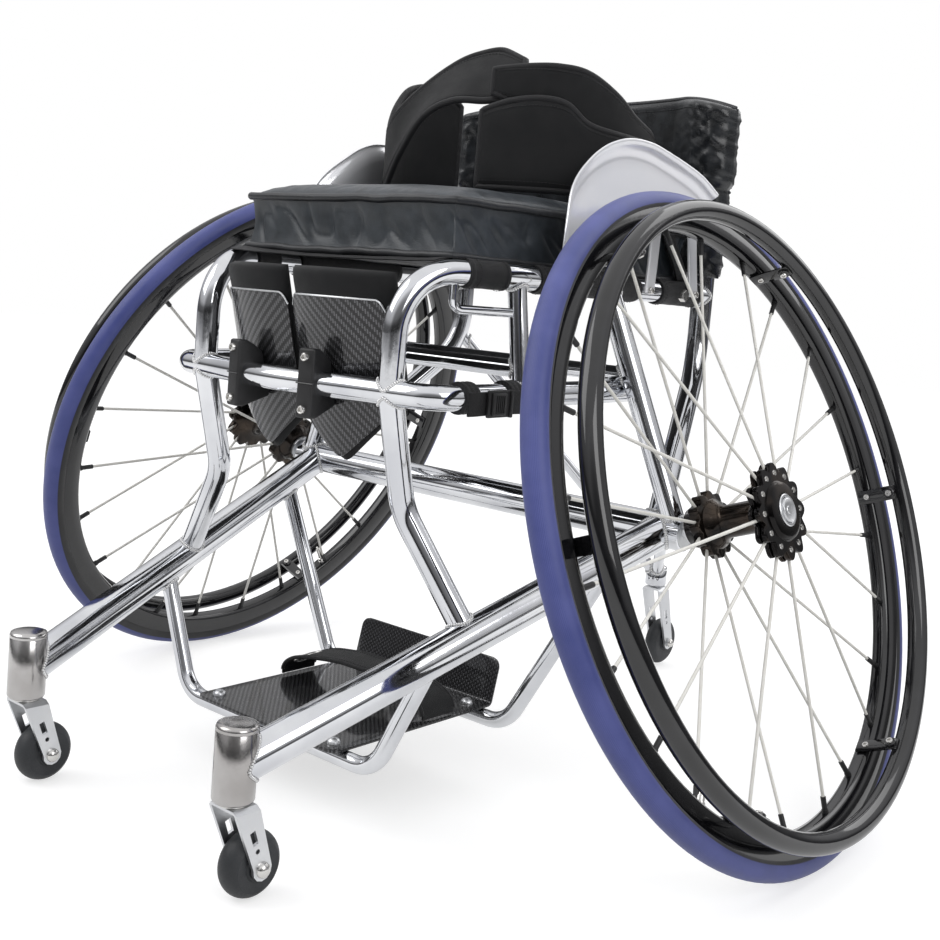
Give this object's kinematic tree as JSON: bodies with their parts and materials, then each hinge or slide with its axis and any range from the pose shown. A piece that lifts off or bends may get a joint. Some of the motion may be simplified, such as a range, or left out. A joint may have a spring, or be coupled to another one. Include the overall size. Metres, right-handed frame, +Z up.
{
  "type": "sports wheelchair",
  "caption": "Rigid-frame court sports wheelchair with strongly cambered wheels, swivel front casters, a rear anti-tip caster, knee supports, a hanging footrest, seat, back and waist belt.",
  "frame": {"origin": "on the ground, midway between the wheels and midway along the chair's length", "axes": "+Z up, -Y towards the front, +X towards the user's left"},
  "size_m": [0.9046, 0.8964, 0.7125],
  "materials": {
    "polished_tube": "mirror polished",
    "satin_aluminium": "satin",
    "steel": "bright",
    "tyre": "matt lavender blue",
    "gloss_black_metal": "gloss black",
    "caster_tyre": "matt dark grey",
    "carbon_fibre": "clear-coated carbon weave",
    "black_anodised": "satin black",
    "neoprene": "matt black with bound edges",
    "webbing": "black webbing",
    "vinyl": "soft black grained"
  },
  "bodies": {
    "frame": {"camber_bar": "polished_tube", "left_main_tube": "polished_tube", "right_main_tube": "polished_tube", "left_caster_barrel": "polished_tube", "right_caster_barrel": "polished_tube", "left_seat_rail": "polished_tube", "right_seat_rail": "polished_tube", "left_lower_upright": "polished_tube", "right_lower_upright": "polished_tube", "knee_bar": "polished_tube", "left_seat_post": "polished_tube", "right_seat_post": "polished_tube", "front_cross_tube": "polished_tube", "rear_cross_tube": "polished_tube", "left_camber_plug": "satin_aluminium", "right_camber_plug": "satin_aluminium", "left_diagonal_strut": "polished_tube", "right_diagonal_strut": "polished_tube", "left_back_post": "polished_tube", "right_back_post": "polished_tube", "left_antitip_arm": "polished_tube", "right_antitip_arm": "polished_tube", "antitip_housing": "polished_tube", "front_foot_hoop": "polished_tube", "rear_foot_hoop": "polished_tube", "foot_plate": "carbon_fibre", "foot_strap": "webbing", "left_side_guard": "polished_tube", "right_side_guard": "polished_tube", "seat_sling": "webbing", "seat_cushion": "vinyl", "back_upholstery": "vinyl", "waist_belt": "neoprene", "knee_strap": "webbing", "left_axle": "steel", "right_axle": "steel"},
    "left_wheel": {"left_tyre": "tyre", "left_rim": "gloss_black_metal", "left_hub": "gloss_black_metal", "left_push_rim": "gloss_black_metal"},
    "left_button": {"left_release_button": "steel"},
    "left_caster_swivel": {"left_caster_fork": "satin_aluminium", "left_caster_axle": "steel"},
    "left_caster_roller": {"left_caster_wheel": "caster_tyre"},
    "left_knee_support": {"left_knee_clamp": "black_anodised", "left_knee_shell": "carbon_fibre", "left_knee_pad": "neoprene"},
    "right_wheel": {"right_tyre": "tyre", "right_rim": "gloss_black_metal", "right_hub": "gloss_black_metal", "right_push_rim": "gloss_black_metal"},
    "right_button": {"right_release_button": "steel"},
    "right_caster_swivel": {"right_caster_fork": "satin_aluminium", "right_caster_axle": "steel"},
    "right_caster_roller": {"right_caster_wheel": "caster_tyre"},
    "right_knee_support": {"right_knee_clamp": "black_anodised", "right_knee_shell": "carbon_fibre", "right_knee_pad": "neoprene"},
    "antitip_swivel": {"antitip_fork": "satin_aluminium"},
    "antitip_roller": {"antitip_wheel": "caster_tyre"}
  },
  "joints": [
    {"name": "left_wheel_spin", "type": "hinge", "parent": "frame", "child": "left_wheel", "pos_m": [0.3145, -0.00475, 0.28824], "axis": [0.9397, 0, 0.342], "continuous": true},
    {"name": "left_button_press", "type": "slide", "parent": "frame", "child": "left_button", "axis": [-0.9397, 0, -0.342], "range_m": [0, 0.003], "stiffness_N_per_m": 400},
    {"name": "left_caster_turn", "type": "hinge", "parent": "frame", "child": "left_caster_swivel", "pos_m": [0.144, -0.43175, 0.08], "axis": [0, 0, 1], "continuous": true},
    {"name": "left_caster_spin", "type": "hinge", "parent": "left_caster_swivel", "child": "left_caster_roller", "pos_m": [0.144, -0.41175, 0.0265], "axis": [1, 0, 0], "continuous": true},
    {"name": "left_knee_angle", "type": "hinge", "parent": "frame", "child": "left_knee_support", "pos_m": [0.045, -0.28448, 0.382], "axis": [0.9854, 0.1701, 0], "range_deg": [-8, 8]},
    {"name": "right_wheel_spin", "type": "hinge", "parent": "frame", "child": "right_wheel", "pos_m": [-0.3145, -0.00475, 0.28824], "axis": [-0.9397, 0, 0.342], "continuous": true},
    {"name": "right_button_press", "type": "slide", "parent": "frame", "child": "right_button", "axis": [0.9397, 0, -0.342], "range_m": [0, 0.003], "stiffness_N_per_m": 400},
    {"name": "right_caster_turn", "type": "hinge", "parent": "frame", "child": "right_caster_swivel", "pos_m": [-0.144, -0.43175, 0.08], "axis": [0, 0, 1], "continuous": true},
    {"name": "right_caster_spin", "type": "hinge", "parent": "right_caster_swivel", "child": "right_caster_roller", "pos_m": [-0.144, -0.41175, 0.0265], "axis": [1, 0, 0], "continuous": true},
    {"name": "right_knee_angle", "type": "hinge", "parent": "frame", "child": "right_knee_support", "pos_m": [-0.045, -0.28448, 0.382], "axis": [0.9854, -0.1701, 0], "range_deg": [-8, 8]},
    {"name": "antitip_turn", "type": "hinge", "parent": "frame", "child": "antitip_swivel", "pos_m": [0, 0.39225, 0.1], "axis": [0, 0, 1], "continuous": true},
    {"name": "antitip_spin", "type": "hinge", "parent": "antitip_swivel", "child": "antitip_roller", "pos_m": [0, 0.41825, 0.032], "axis": [1, 0, 0], "continuous": true}
  ]
}
